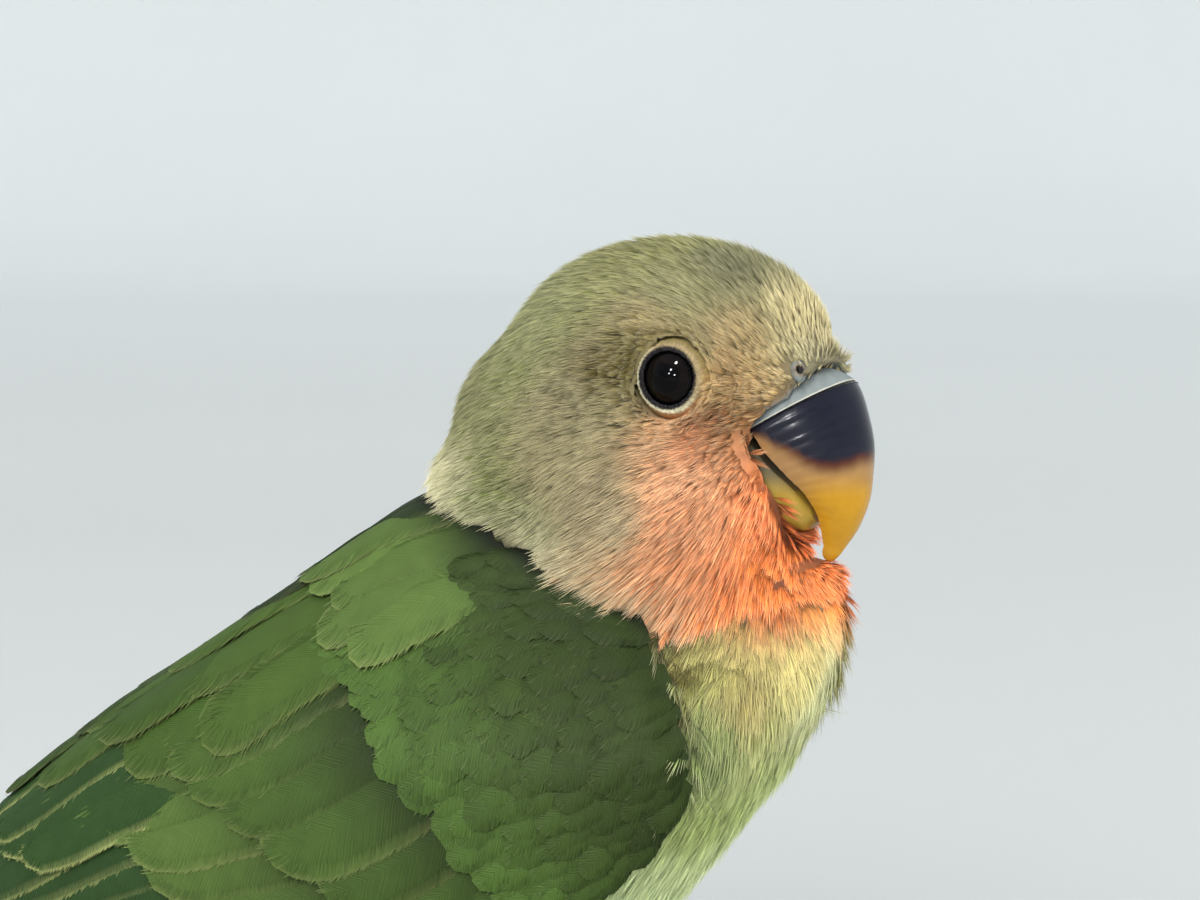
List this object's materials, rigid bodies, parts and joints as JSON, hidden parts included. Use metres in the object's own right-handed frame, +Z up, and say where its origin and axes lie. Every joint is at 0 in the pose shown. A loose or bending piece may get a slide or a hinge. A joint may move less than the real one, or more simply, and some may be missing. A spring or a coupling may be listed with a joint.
{
  "type": "lovebird model",
  "caption": "Life-size still model of a young peach-faced lovebird standing on the floor, head turned a little to its right.",
  "frame": {"origin": "centre of the bird's bounding box, at floor level", "axes": "+X forwards from the tail towards the bill, +Y to the bird's left, +Z up"},
  "size_m": [0.126, 0.0524, 0.0985],
  "materials": {
    "head_feathers": "soft olive-green and tan feathers",
    "face_feathers": "soft peach-orange feathers",
    "breast_feathers": "soft yellow-beige feathers",
    "body_feathers": "soft pale green feathers",
    "rump_feathers": "soft bright blue feathers",
    "tail_feathers": "smooth green feathers",
    "wing_feathers": "smooth green feathers with fine barbs",
    "eye": "glossy dark",
    "lid": "matt pale skin",
    "cere": "pale blue-grey skin",
    "bill": "smooth horn, blue-black to yellow",
    "bill_lower": "smooth yellow horn",
    "leg_skin": "matt grey scaly skin",
    "claw": "smooth dark horn"
  },
  "bodies": {
    "root": {"head": "head_feathers", "neck": "face_feathers", "breast": "breast_feathers", "torso": "body_feathers", "rump": "rump_feathers", "tail": "tail_feathers", "wing_right": "wing_feathers", "wing_left": "wing_feathers", "eye_right": "eye", "eye_left": "eye", "lid_right": "lid", "lid_left": "lid", "cere": "cere", "bill_upper": "bill", "bill_lower": "bill_lower", "thigh_right": "body_feathers", "thigh_left": "body_feathers", "tarsus_right": "leg_skin", "tarsus_left": "leg_skin", "foot_right": "leg_skin", "foot_left": "leg_skin", "claw_inner_front_right": "claw", "claw_outer_front_right": "claw", "claw_outer_rear_right": "claw", "claw_inner_rear_right": "claw", "claw_inner_front_left": "claw", "claw_outer_front_left": "claw", "claw_outer_rear_left": "claw", "claw_inner_rear_left": "claw"}
  },
  "joints": []
}
